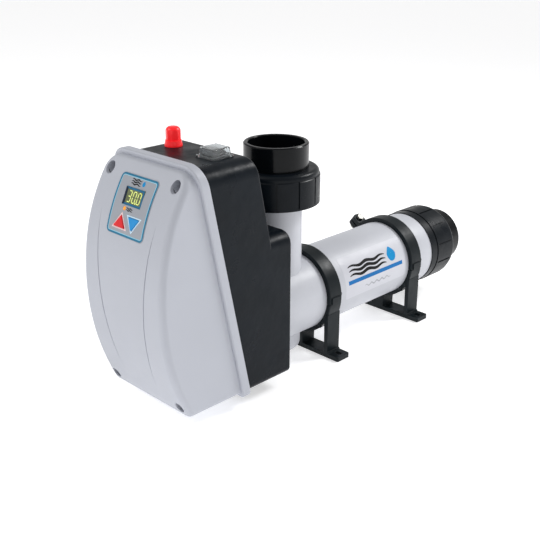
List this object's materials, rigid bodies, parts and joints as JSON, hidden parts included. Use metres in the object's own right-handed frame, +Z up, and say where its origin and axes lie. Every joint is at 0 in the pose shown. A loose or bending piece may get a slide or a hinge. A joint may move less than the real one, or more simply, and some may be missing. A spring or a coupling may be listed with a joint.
{
  "type": "electric pool heater",
  "caption": "In-line electric pool heater: tee-shaped plastic heater tube with pipe unions, clamp brackets and a control enclosure with thermostat.",
  "frame": {"origin": "on the floor under the middle of the whole part's box", "axes": "+Z up, -Y the side that the control cover faces, +Y along the tube to the inlet union"},
  "size_m": [0.136, 0.543, 0.2912],
  "materials": {
    "tube_plastic": "satin moulded",
    "cover_plastic": "fine satin moulded",
    "housing_plastic": "satin moulded",
    "union_gloss": "gloss moulded",
    "union_satin": "satin moulded",
    "bracket_plastic": "satin moulded",
    "rubber_black": "matt",
    "zinc_steel": "zinc plated",
    "stainless": "turned",
    "element_alloy": "dull oxide",
    "brass": "bright",
    "copper": "drawn",
    "red_plastic": "gloss",
    "clear_plastic": "clear flexible",
    "overlay_film": "satin film",
    "display_lens": "tinted clear",
    "display_black": "gloss",
    "amber_lens": "clear amber",
    "key_red": "satin",
    "key_blue": "satin",
    "board_green": "solder resist",
    "white_nylon": "natural",
    "grey_polyamide": "moulded",
    "magnet": "sintered"
  },
  "bodies": {
    "heater": {"heater_tube": "tube_plastic", "outlet_threaded_end": "union_satin", "inlet_threaded_end": "union_satin", "outlet_socket_end": "union_gloss", "inlet_socket_end": "union_gloss", "union_seals": "rubber_black", "front_bracket_base": "bracket_plastic", "rear_bracket_base": "bracket_plastic", "front_bracket_strap": "bracket_plastic", "rear_bracket_strap": "bracket_plastic", "clamp_bolts": "zinc_steel", "clamp_nuts": "zinc_steel", "rear_housing": "housing_plastic", "front_cover": "cover_plastic", "cover_gasket": "rubber_black", "cover_screws": "stainless", "control_overlay": "overlay_film", "display_window": "display_lens", "display_module": "display_black", "status_light": "amber_lens", "key_switches": "display_black", "control_board": "board_green", "board_spacers": "white_nylon", "limiter_body": "white_nylon", "limiter_nut": "zinc_steel", "reset_collar": "red_plastic", "switch_body": "display_black", "rocker_pin": "zinc_steel", "splash_boot": "clear_plastic", "element_flange": "stainless", "flange_seal": "rubber_black", "flange_screws": "stainless", "heating_element_1": "element_alloy", "heating_element_2": "element_alloy", "heating_element_3": "element_alloy", "sensor_pockets": "stainless", "temperature_sensor": "copper", "limiter_bulb": "copper", "flow_switch_body": "grey_polyamide", "paddle_pin": "stainless", "earth_stud": "brass", "din_rail": "zinc_steel", "contactor_body": "grey_polyamide", "terminal_screws": "zinc_steel", "terminal_block": "white_nylon", "cable_gland": "housing_plastic", "gland_cap": "housing_plastic", "gland_seal": "rubber_black", "blanking_plug": "housing_plastic", "lock_nuts": "housing_plastic"},
    "outlet_nut": {"outlet_union_nut": "union_satin"},
    "inlet_nut": {"inlet_union_nut": "union_satin"},
    "up_key": {"key_up": "key_red"},
    "down_key": {"key_down": "key_blue"},
    "reset": {"reset_button": "red_plastic", "reset_pin": "brass"},
    "rocker": {"power_rocker": "display_black"},
    "paddle": {"flow_paddle": "grey_polyamide", "paddle_magnet": "magnet"},
    "armature": {"contactor_armature": "display_black"}
  },
  "joints": [
    {"name": "outlet_nut_turn", "type": "hinge", "parent": "heater", "child": "outlet_nut", "pos_m": [0, -0.05395, 0.2144], "axis": [0, 0, 1], "continuous": true},
    {"name": "inlet_nut_turn", "type": "hinge", "parent": "heater", "child": "inlet_nut", "pos_m": [0, 0.22355, 0.0734], "axis": [0, 1, 0], "continuous": true},
    {"name": "key_up_press", "type": "slide", "parent": "heater", "child": "up_key", "axis": [0, 0.9121, -0.41], "range_m": [0, 0.0005], "stiffness_N_per_m": 1500, "springref_m": -0.0003},
    {"name": "key_down_press", "type": "slide", "parent": "heater", "child": "down_key", "axis": [0, 0.9121, -0.41], "range_m": [0, 0.0005], "stiffness_N_per_m": 1500, "springref_m": -0.0003},
    {"name": "reset_press", "type": "slide", "parent": "heater", "child": "reset", "axis": [0, 0, -1], "range_m": [0, 0.0025], "stiffness_N_per_m": 900, "springref_m": -0.001},
    {"name": "rocker_tilt", "type": "hinge", "parent": "heater", "child": "rocker", "pos_m": [0.027, -0.16795, 0.27], "axis": [1, 0, 0], "range_deg": [-18, 0]},
    {"name": "paddle_swing", "type": "hinge", "parent": "heater", "child": "paddle", "pos_m": [0, -0.07395, 0.0734], "axis": [1, 0, 0], "range_deg": [0, 14], "stiffness_Nm_per_rad": 0.01, "springref_deg": -5.73},
    {"name": "armature_pull", "type": "slide", "parent": "heater", "child": "armature", "axis": [0, 1, 0], "range_m": [0, 0.004], "stiffness_N_per_m": 600, "springref_m": -0.002}
  ]
}
